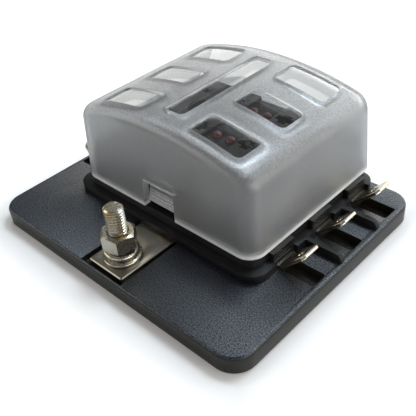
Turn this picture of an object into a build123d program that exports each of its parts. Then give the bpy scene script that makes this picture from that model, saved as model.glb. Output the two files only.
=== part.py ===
from build123d import *
import os
from math import cos, radians, sin, tan

# Six-way blade fuse block, in millimetres.
# Origin at the middle of the plate's underside: +X along the stud edge, +Y away from the stud, +Z up.

# Base plate
plate_width = 89.0
plate_depth = 71.4
plate_thickness = 5.1
plate_corner = 6.0
plate_top_edge = 0.8
plate_foot_edge = 0.4

# Fuse layout: three rows, one fuse on each side of the centre line, blades side by side along X
row_pitch = 15.5
row_middle = 11.3
fuse_x = 15.65
blade_pitch = 14.5
blade_width = 5.2
blade_thickness = 0.65
blade_grip = 0.15

# Bus bar and its recess in the plate
bar_width = 12.4
bar_thickness = 1.5
bar_front = -33.7
bar_corner = 0.5
bar_edge = 0.25
bar_groove = 1.4
lug_width = 6.4
lug_end = 1.0
lug_gap = 0.3

# Supply stud, M5, with its hardware
stud_y = -27.7
stud_diameter = 5.0
stud_top = 20.6
stud_tip = 0.5
stud_head_flats = 8.0
stud_head_height = 2.0
stud_head_recess = 0.2
stud_gap = 0.2
stud_neck_depth = 0.3
stud_neck_below = 0.5
stud_neck_above = 0.3
thread_gap = 0.05
nut_flats = 8.0
nut_height = 4.6
nut_turn = 14.0
nut_chamfer_angle = 30.0
nut_face = 7.4
nut_lead = 0.3
flat_washer_diameter = 10.0
flat_washer_thickness = 1.0
spring_washer_diameter = 9.0
spring_washer_thickness = 1.2
spring_washer_height = 2.6
spring_washer_split_angle = 14.0
spring_washer_turn = 137.0
spring_washer_seat = 0.06

# Folded strip of the terminals and clips
strip_gauge = 0.8
strip_bend = 0.9
clip_length = 4.6
clip_half_width = 1.5
clip_shoulder = 9.5
clip_throat = 15.2
clip_top = 17.6
tab_width = 6.3
tab_bend_x = 33.5
tab_angle = 45.0
tab_reach = 6.7
tab_bend_radius = 1.2
tab_corner = 1.0
tab_tip_bevel = 0.25
tab_hole = 1.7
tab_hole_from_tip = 3.7
tab_neck_width = 2.6
tab_shoulder_gap = 0.6

# Pockets in the plate under the tabs
pocket_start = 33.2
pocket_end = 43.0
pocket_width = 4.9
pocket_shift = -0.65
pocket_depth = 2.6
pocket_corner = 0.6

# Fuse body: foot flange, skirt under the cover's rim and raised socket block
wall = 2.0
flange_width = 66.6
flange_height = 2.2
flange_corner = 4.5
flange_front = -16.3
body_back = 35.3
skirt_width = 61.4
skirt_front = -13.9
skirt_corner = 3.5
block_width = 56.0
block_top = 20.7
block_corner = 2.5
block_edge = 0.6
cover_gap = 0.4
draft = 3.0
aisle_width = 10.0
aisle_drop = 1.0
slot_gap = 0.3
slot_height = 2.0
relief_width = 2.6
relief_height = 4.4
clip_gap = 0.4
chimney_wall = 1.2
housing_width = 8.0
housing_face = 32.3
housing_top = 9.5
ridge_count = 4
ridge_pitch = 0.8
ridge_start = 0.5
ridge_groove = 0.35
tab_slot_gap = 0.2
rib_end = 43.6
rib_thickness = 1.4
rib_curve = 1.8
mount_hole = 4.3
mount_head = 8.2
mount_seat = 9.5
mount_wall = 1.2

# Body screws, from under the plate
screw_x = 24.3
screw_diameter = 3.0
screw_length = 12.0
screw_head = 5.6
screw_gap = 0.1
screw_boss = 5.6
screw_recess = 0.1
screw_boss_top = 14.0

# Lamps and their board
lamp_x = 2.4
lamp_diameter = 3.0
lamp_flange = 3.8
lamp_flange_height = 1.0
lamp_height = 5.3
lamp_above_block = 0.1
lamp_gap = 0.2
lead_pitch = 2.54
lead_diameter = 0.5
lead_gap = 0.1
lead_below_board = 0.8
board_thickness = 1.6
board_gap = 0.5
board_corner = 1.0
chip_length = 3.2
chip_width = 1.6
chip_height = 0.6

# Cover: drafted shell with an arched top
rim_width = 62.2
rim_depth = 51.2
rim_height = 9.8
rim_corner = 5.0
cover_wall = 2.0
crown_height = 35.8
crown_radius = 97.0
crown_edge = 3.2
window_inner = 7.95
window_outer = 23.35
window_depth = 8.6
window_corner = 1.5
window_recess = 0.6
middle_window_width = 6.6
middle_window_front = -5.7
middle_window_back = 29.1
notch_width = 11.2
notch_height = 8.0
tongue_width = 9.8
tongue_thickness = 1.0
tongue_inset = 2.1
tongue_bottom = 11.6
tongue_bend = 15.0
tongue_flare = 1.05
tongue_root = 20.0
tongue_gap = 0.5
tongue_ridges = 4
tongue_ridge_pitch = 0.8
tongue_ridge_height = 0.25

# Places worked out from the sizes above
rows = [row_middle + row_pitch * n for n in (-1, 0, 1)]
row_gaps = [row_middle + row_pitch * n for n in (-0.5, 0.5)]
inner_blade_x = fuse_x - blade_pitch / 2
outer_blade_x = fuse_x + blade_pitch / 2
bar_bottom = plate_thickness - bar_thickness
bar_back = rows[-1] + lug_width / 2
lug_span = 2 * (inner_blade_x + clip_length / 2 + lug_end)
bar_middle_y = (bar_front + bar_back) / 2
bar_length = bar_back - bar_front
stud_radius = stud_diameter / 2
stud_hole_radius = stud_radius + stud_gap / 2
stud_head_bottom = stud_head_recess
stud_head_top = stud_head_bottom + stud_head_height
washer_bottom = plate_thickness
spring_bottom = washer_bottom + flat_washer_thickness
nut_bottom = spring_bottom + spring_washer_height
nut_top = nut_bottom + nut_height
clip_pinch = blade_thickness - blade_grip
strip_middle_z = plate_thickness + strip_gauge / 2
flange_top = plate_thickness + flange_height
block_depth = rim_depth - 2 * (cover_wall + cover_gap)
tongue_depth = tongue_inset + tongue_thickness + tongue_gap - cover_wall - cover_gap
cavity_width = 2 * (outer_blade_x + clip_length / 2 + clip_gap)
cavity_depth = block_depth - 2 * (tongue_depth + wall)
cavity_top = block_top - wall
ledge_bottom = rim_height - wall
slot_length = blade_width + 2 * slot_gap
clip_space_x = clip_length + 2 * clip_gap
clip_space_y = 2 * clip_half_width + strip_gauge + 2 * clip_gap
mount_boss_radius = mount_head / 2 + mount_wall
board_bottom = ledge_bottom
board_top = board_bottom + board_thickness
lamp_top = block_top + lamp_above_block
lamp_bottom = lamp_top - lamp_height
lamp_places = [(side * lamp_x, y) for side in (1, -1) for y in rows]
mount_places = [(side * fuse_x, y) for side in (1, -1) for y in row_gaps]
screw_places = [(side * screw_x, y) for side in (1, -1) for y in row_gaps]
inner_places = [(side * inner_blade_x, y) for side in (1, -1) for y in rows]
outer_places = [(side * outer_blade_x, y) for side in (1, -1) for y in rows]

os.makedirs("parts", exist_ok=True)


# Base plate: rounded slab with the bus bar's recess, tab pockets and holes
with BuildPart() as base_plate:
    with BuildSketch():
        RectangleRounded(plate_width, plate_depth, plate_corner)
    extrude(amount=plate_thickness)
    fillet(faces().sort_by(Axis.Z)[-1].edges(), plate_top_edge)
    chamfer(faces().sort_by(Axis.Z)[0].edges(), plate_foot_edge)
    with BuildSketch(Plane.XY.offset(plate_thickness)):
        with Locations((0, bar_middle_y)):
            Rectangle(bar_width + 2 * bar_groove, bar_length + 2 * bar_groove)
        with Locations(*[(0, y) for y in rows]):
            Rectangle(lug_span + 2 * lug_gap, lug_width + 2 * lug_gap)
    extrude(amount=-bar_thickness, mode=Mode.SUBTRACT)
    with BuildSketch(Plane.XY.offset(plate_thickness)):
        pocket_x = (pocket_start + pocket_end) / 2
        with Locations(*[(side * pocket_x, y + pocket_shift) for side in (1, -1) for y in rows]):
            RectangleRounded(pocket_end - pocket_start, pocket_width, pocket_corner)
    extrude(amount=-pocket_depth, mode=Mode.SUBTRACT)
    with BuildSketch():
        with Locations((0, stud_y)):
            RegularPolygon((stud_head_flats + stud_gap) / 2, 6, major_radius=False)
    extrude(amount=stud_head_top, mode=Mode.SUBTRACT)
    with Locations((0, stud_y, 0)):
        Hole(stud_hole_radius)
    with Locations(*[(x, y, 0) for x, y in mount_places]):
        Hole(mount_hole / 2)
    with Locations(*[Location((x, y, 0), (180, 0, 0)) for x, y in screw_places]):
        CounterSinkHole((screw_diameter + screw_gap) / 2, screw_head / 2 + screw_recess,
                        counter_sink_angle=90)


# Bus bar: spine along the centre line with a cross lug under each pair of inner clips
with BuildPart() as bus_bar:
    with BuildSketch(Plane.XY.offset(bar_bottom)):
        with Locations((0, bar_middle_y)):
            Rectangle(bar_width, bar_length)
        with Locations(*[(0, y) for y in rows]):
            Rectangle(lug_span, lug_width)
        fillet(vertices(), bar_corner)
        with Locations((0, stud_y)):
            Circle(stud_hole_radius, mode=Mode.SUBTRACT)
    extrude(amount=bar_thickness)
    chamfer(faces().sort_by(Axis.Z)[-1].outer_wire().edges(), bar_edge)


# Supply stud: low hexagon head under the plate's web, round shank with a neck in the nut's mouth
with BuildPart() as stud:
    with BuildSketch(Plane.XY.offset(stud_head_bottom)):
        with Locations((0, stud_y)):
            RegularPolygon(stud_head_flats / 2, 6, major_radius=False)
    extrude(amount=stud_head_height)
    with BuildSketch(Plane.XY.offset(stud_head_top)):
        with Locations((0, stud_y)):
            Circle(stud_radius)
    extrude(amount=stud_top - stud_head_top)
    chamfer(faces().sort_by(Axis.Z)[-1].edges(), stud_tip)
    with BuildSketch(Plane.XY.offset(nut_top - stud_neck_below)):
        with Locations((0, stud_y)):
            Circle(stud_radius)
            Circle(stud_radius - stud_neck_depth, mode=Mode.SUBTRACT)
    extrude(amount=stud_neck_below + stud_neck_above, mode=Mode.SUBTRACT)


with BuildPart() as flat_washer:
    with BuildSketch(Plane.XY.offset(washer_bottom)):
        with Locations((0, stud_y)):
            Circle(flat_washer_diameter / 2)
            Circle(stud_hole_radius, mode=Mode.SUBTRACT)
    extrude(amount=flat_washer_thickness)


def spring_coil():
    """Split spring washer: one left-hand turn of square wire, its two ends seated flat."""
    share_of_turn = 1 - spring_washer_split_angle / 360
    rise = spring_washer_height - spring_washer_thickness + 2 * spring_washer_seat
    start_z = spring_bottom - spring_washer_seat + spring_washer_thickness / 2
    outer_radius = spring_washer_diameter / 2
    with BuildPart() as coil:
        with BuildLine() as path:
            Helix(rise / share_of_turn, rise, (outer_radius + stud_hole_radius) / 2,
                  center=(0, stud_y, start_z), lefthand=True)
        with BuildSketch(Plane(path.line @ 0, x_dir=(1, 0, 0), z_dir=path.line % 0)):
            Rectangle(outer_radius - stud_hole_radius, spring_washer_thickness)
        sweep(is_frenet=True)
        with BuildSketch(Plane.XY.offset(spring_bottom)):
            with Locations((0, stud_y)):
                Circle(spring_washer_diameter)
        extrude(amount=spring_washer_height, mode=Mode.INTERSECT)
    return coil.part.rotate(Axis((0, stud_y, 0), (0, 0, 1)), spring_washer_turn)


# Nut: hexagon cut back to a cone at both faces
nut_corner_radius = nut_flats / 2 / cos(radians(30))
nut_cone_height = (nut_corner_radius - nut_face / 2) * tan(radians(nut_chamfer_angle))
with BuildPart() as stud_nut:
    with BuildSketch(Plane.XY.offset(nut_bottom)):
        with Locations((0, stud_y)):
            RegularPolygon(nut_flats / 2, 6, major_radius=False, rotation=nut_turn)
            Circle(stud_radius + thread_gap, mode=Mode.SUBTRACT)
    extrude(amount=nut_height)
    chamfer(edges().filter_by(GeomType.CIRCLE), nut_lead)
    with BuildSketch(Plane.XZ.offset(-stud_y)):
        with BuildLine():
            Polyline((0, nut_bottom), (nut_face / 2, nut_bottom),
                     (nut_corner_radius, nut_bottom + nut_cone_height),
                     (nut_corner_radius, nut_top - nut_cone_height),
                     (nut_face / 2, nut_top), (0, nut_top), close=True)
        make_face()
    revolve(axis=Axis((0, stud_y, 0), (0, 0, 1)), mode=Mode.INTERSECT)


def clip_profile(x, y):
    """Folded clip seen along X: base on the plate, two legs that pinch the blade and flare above it."""
    half = [(clip_half_width, strip_middle_z), (clip_half_width, clip_shoulder),
            ((clip_pinch + strip_gauge) / 2, clip_throat), (clip_half_width, clip_top)]
    route = [(y - dy, z) for dy, z in reversed(half)] + [(y + dy, z) for dy, z in half]
    with BuildSketch(Plane.YZ.offset(x - clip_length / 2)) as profile:
        with BuildLine():
            FilletPolyline(*route, radius=strip_bend)
        trace(line_width=strip_gauge)
    return profile.sketch


def bus_clip(x, y):
    """Blade clip on the bus bar."""
    with BuildPart() as clip:
        extrude(clip_profile(x, y), amount=clip_length)
    return clip.part


def output_terminal(y):
    """Folded terminal on the +X side: blade clip, strip along the plate and tab bent up."""
    clip_end = outer_blade_x + clip_length / 2
    shoulder = clip_end + tab_shoulder_gap
    direction = Vector(cos(radians(tab_angle)), 0, sin(radians(tab_angle)))
    tip = Vector(tab_bend_x + tab_reach, y, strip_middle_z + tab_reach * tan(radians(tab_angle)))
    hole_plane = Plane(tip - direction * tab_hole_from_tip, x_dir=direction,
                       z_dir=direction.cross(Vector(0, 1, 0)))
    with BuildPart() as terminal:
        with BuildSketch(Plane.XZ.offset(-y)):
            with BuildLine():
                FilletPolyline((shoulder, strip_middle_z), (tab_bend_x, strip_middle_z), (tip.X, tip.Z),
                               radius=tab_bend_radius)
            trace(line_width=strip_gauge)
        extrude(amount=tab_width / 2, both=True)
        tip_face = faces().sort_by(Axis.Z)[-1]
        chamfer(tip_face.edges().filter_by(Axis.Y, reverse=True), tab_corner)
        tip_face = faces().sort_by(Axis.Z)[-1]
        chamfer(tip_face.edges().filter_by(Axis.Y), tab_tip_bevel)
        with Locations(hole_plane.offset(strip_gauge)):
            Hole(tab_hole / 2, depth=2 * strip_gauge)
        with BuildSketch(Plane.XY.offset(plate_thickness)):
            with Locations(((outer_blade_x + shoulder) / 2, y)):
                Rectangle(shoulder - outer_blade_x, tab_neck_width)
        extrude(amount=strip_gauge)
        extrude(clip_profile(outer_blade_x, y), amount=clip_length)
    return terminal.part


def lamp(x, y):
    """Round-topped indicator lamp with its base flange."""
    radius = lamp_diameter / 2
    with BuildPart() as lens:
        with BuildSketch(Plane.XZ.offset(-y)):
            with BuildLine():
                Polyline((x, lamp_top), (x, lamp_bottom), (x + lamp_flange / 2, lamp_bottom),
                         (x + lamp_flange / 2, lamp_bottom + lamp_flange_height),
                         (x + radius, lamp_bottom + lamp_flange_height), (x + radius, lamp_top - radius))
                CenterArc((x, lamp_top - radius), radius, 0, 90)
            make_face()
        revolve(axis=Axis((x, y, 0), (0, 0, 1)))
    return lens.part


# Lamp board: notched round the clips, holed round the bosses and leads
with BuildPart() as led_board:
    with BuildSketch(Plane.XY.offset(board_bottom)):
        with Locations((0, row_middle)):
            RectangleRounded(cavity_width - 2 * board_gap, cavity_depth - 2 * board_gap, board_corner)
        with Locations(*inner_places, *outer_places):
            Rectangle(clip_space_x, clip_space_y, mode=Mode.SUBTRACT)
        with Locations(*mount_places):
            Circle(mount_boss_radius + board_gap, mode=Mode.SUBTRACT)
        with Locations(*screw_places):
            Circle(screw_boss / 2 + board_gap, mode=Mode.SUBTRACT)
        with Locations(*[(x + lead_pitch / 2 * end, y) for x, y in lamp_places for end in (1, -1)]):
            Circle(lead_diameter / 2 + lead_gap, mode=Mode.SUBTRACT)
    extrude(amount=board_thickness)


with BuildPart() as led_leads:
    with BuildSketch(Plane.XY.offset(board_bottom - lead_below_board)):
        with Locations(*[(x + lead_pitch / 2 * end, y) for x, y in lamp_places for end in (1, -1)]):
            Circle(lead_diameter / 2)
    extrude(amount=lamp_bottom - board_bottom + lead_below_board)


with BuildPart() as resistors:
    with BuildSketch(Plane.XY.offset(board_top)):
        with Locations(*[(side * fuse_x, y) for side in (1, -1) for y in rows]):
            Rectangle(chip_length, chip_width)
    extrude(amount=chip_height)


# Body screws: countersunk heads flush in the plate's underside
screw_cone = (screw_head - screw_diameter) / 2
with BuildPart() as body_screws:
    for x, y in screw_places:
        with BuildSketch(Plane.XZ.offset(-y)):
            with BuildLine():
                Polyline((x, screw_recess), (x + screw_head / 2, screw_recess),
                         (x + screw_diameter / 2, screw_recess + screw_cone),
                         (x + screw_diameter / 2, screw_length), (x, screw_length), close=True)
            make_face()
        revolve(axis=Axis((x, y, 0), (0, 0, 1)))


# Fuse body: drafted socket block on a skirt and a foot flange, hollow from below
skirt_middle_y = (skirt_front + body_back) / 2
flange_middle_y = (flange_front + body_back) / 2
housing_depth = housing_face - cavity_width / 2
housing_middle_x = (housing_face + cavity_width / 2) / 2
housing_places = [(side * housing_middle_x, y) for side in (1, -1) for y in rows]
with BuildPart() as fuse_body:
    with BuildSketch(Plane.XY.offset(plate_thickness)):
        with Locations((0, flange_middle_y)):
            RectangleRounded(flange_width, body_back - flange_front, flange_corner)
        with Locations(*[(side * flange_width / 2, y) for side in (1, -1) for y in rows]):
            Rectangle(flange_width - 2 * housing_face, housing_width, mode=Mode.SUBTRACT)
    extrude(amount=flange_height)
    with BuildSketch(Plane.XY.offset(plate_thickness)):
        with Locations((0, skirt_middle_y)):
            RectangleRounded(skirt_width, body_back - skirt_front, skirt_corner)
    extrude(amount=rim_height - plate_thickness)
    with BuildSketch(Plane.XY.offset(rim_height)):
        with Locations((0, row_middle)):
            RectangleRounded(block_width, block_depth, block_corner)
    extrude(amount=block_top - rim_height, taper=draft)
    fillet(faces().sort_by(Axis.Z)[-1].edges(), block_edge)

    # Lowered aisle for the lamps and the recesses for the cover's spring tongues
    with BuildSketch(Plane.XY.offset(block_top)):
        with Locations((0, row_middle)):
            Rectangle(aisle_width, block_depth)
    extrude(amount=-aisle_drop, mode=Mode.SUBTRACT)
    with BuildSketch(Plane.XY.offset(block_top)):
        with Locations(*[(0, row_middle + end * block_depth / 2) for end in (1, -1)]):
            Rectangle(notch_width, 2 * tongue_depth)
    extrude(amount=rim_height - block_top, mode=Mode.SUBTRACT)

    # Hollow under the block and wider hollow in the skirt
    with BuildSketch(Plane.XY.offset(plate_thickness)):
        with Locations((0, row_middle)):
            RectangleRounded(cavity_width, cavity_depth, board_corner)
    extrude(amount=cavity_top - plate_thickness, mode=Mode.SUBTRACT)
    with BuildSketch(Plane.XY.offset(plate_thickness)):
        with Locations((0, skirt_middle_y)):
            RectangleRounded(skirt_width - 2 * wall, body_back - skirt_front - 2 * wall, board_corner)
    extrude(amount=ledge_bottom - plate_thickness, mode=Mode.SUBTRACT)

    # Chimneys round the clips, bosses for the mounting screws and for the body screws
    with BuildSketch(Plane.XY.offset(board_top)):
        with Locations(*inner_places, *outer_places):
            Rectangle(clip_space_x + 2 * chimney_wall, clip_space_y + 2 * chimney_wall)
    extrude(amount=cavity_top - board_top)
    with BuildSketch(Plane.XY.offset(plate_thickness)):
        with Locations(*mount_places):
            Circle(mount_boss_radius)
    extrude(amount=cavity_top - plate_thickness)
    with BuildSketch(Plane.XY.offset(plate_thickness)):
        with Locations(*screw_places):
            Circle(screw_boss / 2)
    extrude(amount=screw_boss_top - plate_thickness)
    with BuildSketch(Plane.XY.offset(plate_thickness)):
        with Locations(*inner_places, *outer_places):
            Rectangle(clip_space_x, clip_space_y)
    extrude(amount=cavity_top - plate_thickness, mode=Mode.SUBTRACT)

    # Socket mouths: a slot for the blade, crossed by the relief over the clip's legs
    with BuildSketch(Plane.XY.offset(block_top)):
        with Locations(*inner_places, *outer_places):
            Rectangle(slot_length, slot_height)
            Rectangle(relief_width, relief_height)
    extrude(amount=-wall, mode=Mode.SUBTRACT)
    with BuildSketch(Plane.XY.offset(block_top)):
        with Locations(*lamp_places):
            Circle((lamp_diameter + lamp_gap) / 2)
    extrude(amount=-wall, mode=Mode.SUBTRACT)

    # Screw holes
    with Locations(*[(x, y, block_top) for x, y in mount_places]):
        CounterBoreHole(mount_hole / 2, mount_head / 2, block_top - mount_seat)
    with BuildSketch(Plane.XY.offset(plate_thickness)):
        with Locations(*screw_places):
            Circle((screw_diameter + screw_gap) / 2)
    extrude(amount=screw_length + screw_gap - plate_thickness, mode=Mode.SUBTRACT)

    # Ridged terminal housings with a slot for each strip under them
    with BuildSketch(Plane.XY.offset(plate_thickness)):
        with Locations(*[(side * (housing_face + skirt_width / 2 - wall) / 2, y)
                         for side in (1, -1) for y in rows]):
            Rectangle(housing_face - skirt_width / 2 + wall, housing_width)
    extrude(amount=housing_top - plate_thickness)
    with BuildSketch(Plane.XY.offset(plate_thickness)):
        with Locations(*housing_places):
            Rectangle(housing_depth, tab_width + 2 * tab_slot_gap)
    extrude(amount=strip_gauge + tab_slot_gap, mode=Mode.SUBTRACT)
    for side in (1, -1):
        with BuildSketch(Plane.YZ.offset(side * housing_face)):
            with Locations(*[(y, housing_top - ridge_start - ridge_pitch * n) for y in rows
                             for n in range(ridge_count)]):
                Rectangle(housing_width, ridge_pitch / 2)
        extrude(amount=-side * ridge_groove, mode=Mode.SUBTRACT)

    # Ribs between the tabs, curved down to the plate at their outer end
    for y in row_gaps:
        for side in (1, -1):
            with BuildSketch(Plane.XZ.offset(-y)):
                with BuildLine():
                    root = (side * skirt_width / 2, plate_thickness)
                    edge = FilletPolyline((side * rib_end, plate_thickness), (side * rib_end, flange_top),
                                          (side * skirt_width / 2, flange_top), radius=rib_curve)
                    Polyline(edge @ 1, root, edge @ 0)
                make_face()
            extrude(amount=rib_thickness / 2, both=True)


def cover_form(inset, edge):
    """Arched, drafted block inside the cover's outside by the inset, its top edge rounded."""
    crown_centre = crown_height - crown_radius
    with BuildPart() as form:
        with BuildSketch(Plane.XY.offset(rim_height)):
            with Locations((0, row_middle)):
                RectangleRounded(rim_width - 2 * inset, rim_depth - 2 * inset, rim_corner - inset)
        extrude(amount=crown_height - rim_height, taper=draft)
        with BuildSketch(Plane.XZ.offset(-row_middle)):
            with Locations((0, crown_centre)):
                Circle(crown_radius - inset)
        extrude(amount=rim_depth, both=True, mode=Mode.INTERSECT)
        fillet(faces().sort_by(Axis.Z)[-1].edges(), edge)
    return form.part


def above_arch(depth):
    """Everything over the crown's arch lowered by the depth, as a tool for recesses."""
    with BuildPart() as tool:
        with BuildSketch(Plane.XY.offset(block_top)):
            with Locations((0, row_middle)):
                Rectangle(rim_width, rim_depth)
        extrude(amount=crown_height - block_top)
        with BuildSketch(Plane.XZ.offset(-row_middle)):
            with Locations((0, crown_height - crown_radius)):
                Circle(crown_radius - depth)
        extrude(amount=rim_depth, both=True, mode=Mode.SUBTRACT)
    return tool.part


# Cover: shell with recessed windows, notches at both ends and the spring tongues inside them
cover_outside = cover_form(0, crown_edge)
cover_inside = cover_form(cover_wall, crown_edge - cover_wall)
recess_space = above_arch(window_recess)
window_x = (window_inner + window_outer) / 2
with BuildPart() as window_recesses:
    with BuildSketch(Plane.XY.offset(block_top)):
        with Locations(*[(side * window_x, y) for side in (1, -1) for y in rows]):
            RectangleRounded(window_outer - window_inner, window_depth, window_corner)
        with Locations((0, (middle_window_front + middle_window_back) / 2)):
            RectangleRounded(middle_window_width, middle_window_back - middle_window_front, window_corner)
    extrude(amount=crown_height - block_top)
    add(recess_space, mode=Mode.INTERSECT)

front_face = row_middle - rim_depth / 2
tongue_front = front_face + tongue_inset
with BuildPart() as cover:
    add(cover_outside)
    add(cover_inside, mode=Mode.SUBTRACT)
    add(window_recesses.part, mode=Mode.SUBTRACT)
    with BuildSketch(Plane.XY.offset(rim_height)):
        with Locations((0, row_middle)):
            Rectangle(notch_width, 2 * rim_depth)
    extrude(amount=notch_height, mode=Mode.SUBTRACT)
    with BuildSketch(Plane.YZ) as tongue_profile:
        with BuildLine():
            Polyline((tongue_front, tongue_root), (tongue_front, tongue_bend),
                     (tongue_front - tongue_flare, tongue_bottom),
                     (tongue_front - tongue_flare + tongue_thickness, tongue_bottom),
                     (tongue_front + tongue_thickness, tongue_bend),
                     (tongue_front + tongue_thickness, tongue_root), close=True)
        make_face()
        with Locations(*[(tongue_front - tongue_flare * n * tongue_ridge_pitch / (tongue_bend - tongue_bottom),
                          tongue_bend - n * tongue_ridge_pitch) for n in range(tongue_ridges)]):
            Circle(tongue_ridge_height)
    extrude(amount=tongue_width / 2, both=True)
    mirror(extrude(tongue_profile.sketch, amount=tongue_width / 2, both=True, mode=Mode.PRIVATE),
           about=Plane.XZ.offset(-row_middle))


# Labels and files
pieces = {"base_plate": base_plate.part, "fuse_body": fuse_body.part, "cover": cover.part,
          "bus_bar": bus_bar.part, "stud": stud.part, "stud_nut": stud_nut.part,
          "spring_washer": spring_coil(), "flat_washer": flat_washer.part,
          "led_board": led_board.part, "led_leads": led_leads.part, "resistors": resistors.part,
          "body_screws": body_screws.part}
for n, y in enumerate(rows, start=1):
    terminal = output_terminal(y)
    pieces[f"output_terminal_{n}"] = terminal
    pieces[f"output_terminal_{n + len(rows)}"] = mirror(terminal, about=Plane.YZ)
for n, (x, y) in enumerate(inner_places, start=1):
    pieces[f"bus_clip_{n}"] = bus_clip(x, y)
for n, (x, y) in enumerate(lamp_places, start=1):
    pieces[f"led_{n}"] = lamp(x, y)

for name, piece in pieces.items():
    piece.label = name
    export_step(piece, f"parts/{name}.step")
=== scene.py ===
"""Looks of a blade fuse block: textured plate, translucent cover, plated terminals and studio light."""

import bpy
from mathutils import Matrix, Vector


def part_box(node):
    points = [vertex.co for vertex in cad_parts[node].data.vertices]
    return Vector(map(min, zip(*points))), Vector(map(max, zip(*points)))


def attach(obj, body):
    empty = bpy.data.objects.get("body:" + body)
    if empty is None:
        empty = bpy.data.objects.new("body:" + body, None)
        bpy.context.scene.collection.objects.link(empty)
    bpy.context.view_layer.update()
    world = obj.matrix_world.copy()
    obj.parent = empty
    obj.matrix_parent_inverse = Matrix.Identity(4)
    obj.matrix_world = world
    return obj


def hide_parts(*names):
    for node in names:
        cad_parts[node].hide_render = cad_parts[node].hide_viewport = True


bl_info = {
    "name": "Fuse block looks",
    "version": (1, 0, 0),
    "blender": (4, 5, 0),
    "location": "View3D > Sidebar > Fuse Block",
    "description": "Models and dresses a six-way blade fuse block around its packed construction",
    "category": "Object",
}

from math import cos, pi, radians, sin, sqrt, tan

import bmesh
import bpy
from bpy.props import FloatProperty, FloatVectorProperty, IntProperty, PointerProperty
from mathutils import Matrix, Vector

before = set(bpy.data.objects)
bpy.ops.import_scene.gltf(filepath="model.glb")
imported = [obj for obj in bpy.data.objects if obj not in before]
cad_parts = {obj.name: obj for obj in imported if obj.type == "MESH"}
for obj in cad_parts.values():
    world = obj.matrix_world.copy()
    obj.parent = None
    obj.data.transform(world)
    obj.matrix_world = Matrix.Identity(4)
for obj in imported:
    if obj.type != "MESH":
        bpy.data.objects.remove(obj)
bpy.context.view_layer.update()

MM = 0.001
MERGE = 1e-7  # points closer than this are one
EDGE_STEPS = 7  # rings of faces along the cover's top edge
CORNER_STEPS = 10  # faces round an upright corner of the cover
WINDOW_STEPS = 5  # faces round a corner of a window
ARCH_STEPS = 10  # slices of the arch on each side of the centre line
BEVEL_STEPS = 2
THREAD_STEPS = 28  # facets in a turn of the thread
CONE_STEPS = 96  # facets of the cone that trims the nut
LAMP_STEPS = 24  # facets round a lamp
DOME_STEPS = 8  # rings of a lamp's dome
HEXAGON = 6
RIDGES = 4  # grip ridges on a tongue
ROW_PITCH = 15.5 * MM
ROWS = (-1, 0, 1)
SIDES = (1, -1)

plate_low, plate_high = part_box("base_plate")
cover_low, cover_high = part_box("cover")
stud_low, stud_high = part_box("stud")
nut_low, nut_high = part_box("stud_nut")
flat_low, flat_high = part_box("flat_washer")
spring_low, spring_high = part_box("spring_washer")
STUD = (0, (flat_low.y + flat_high.y) / 2)
ROW_MIDDLE = (cover_low.y + cover_high.y) / 2


# Sizes and colours that a user would change

def length(name, description, default):
    """A length property in metres, shown in the scene's unit."""
    return FloatProperty(name=name, description=description, default=default, min=0, subtype="DISTANCE",
                         unit="LENGTH", precision=5)


def colour(name, description, default):
    """A colour property."""
    return FloatVectorProperty(name=name, description=description, default=default, size=3, min=0, max=1,
                               subtype="COLOR")


class CoverSettings(bpy.types.PropertyGroup):
    wall: length("Wall", "Thickness of the shell", 2.0 * MM)
    corner: length("Corner", "Radius of the upright corners", 4.6 * MM)
    edge: length("Edge", "Radius along the top edge", 3.2 * MM)
    crown_radius: length("Crown radius", "Radius of the arched top", 97.0 * MM)
    window_inner: length("Window inner side", "Distance of a window from the centre line", 7.95 * MM)
    window_outer: length("Window outer side", "Distance of a window's far side from the centre line",
                         23.35 * MM)
    window_depth: length("Window depth", "Size of a window along the rows", 8.6 * MM)
    window_corner: length("Window corner", "Corner radius of the windows", 1.5 * MM)
    recess: length("Recess", "How far the windows lie under the top", 0.6 * MM)
    middle_width: length("Middle window width", "Width of the long middle window", 6.6 * MM)
    middle_length: length("Middle window length", "Length of the long middle window", 34.8 * MM)
    middle_place: length("Middle window place", "Middle of the long window along the rows", 11.7 * MM)
    notch_width: length("Notch width", "Width of the notch in the end walls", 11.2 * MM)
    notch_height: length("Notch height", "Height of the notch in the end walls", 8.0 * MM)
    tongue_width: length("Tongue width", "Width of the spring tongues", 9.8 * MM)
    tongue_inset: length("Tongue inset", "Distance of a tongue from the rim", 2.1 * MM)
    tongue_foot: length("Tongue foot", "Height of a tongue's free end", 11.6 * MM)
    tongue_bend: length("Tongue bend", "Height at which a tongue leans outwards", 15.0 * MM)
    tongue_root: length("Tongue root", "Height at which a tongue joins the shell", 20.0 * MM)
    tongue_flare: length("Tongue flare", "How far a tongue leans out at its foot", 1.05 * MM)
    tongue_thickness: length("Tongue thickness", "Thickness of the tongues", 1.0 * MM)
    ridge_pitch: length("Ridge pitch", "Distance of the grip ridges", 0.8 * MM)
    ridge_height: length("Ridge height", "Height of the grip ridges", 0.25 * MM)
    draft: FloatProperty(name="Draft", description="Lean of the side walls", default=radians(3.0),
                         subtype="ANGLE", unit="ROTATION")
    frost: FloatProperty(name="Frost", description="Roughness of the frosted wall", default=0.32, min=0,
                         max=1)
    tint: colour("Tint", "Colour of the moulding", (0.64, 0.65, 0.66))


class PlateSettings(bpy.types.PropertyGroup):
    grain: length("Grain", "Size of the eroded surface's grain", 0.34 * MM)
    top_colour: colour("Top", "Colour of the textured top", (0.0114, 0.013, 0.01875))
    side_colour: colour("Side", "Colour of the smooth sides", (0.016, 0.0152, 0.0115))
    body_colour: colour("Body", "Colour of the socket body", (0.006, 0.006, 0.007))


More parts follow.
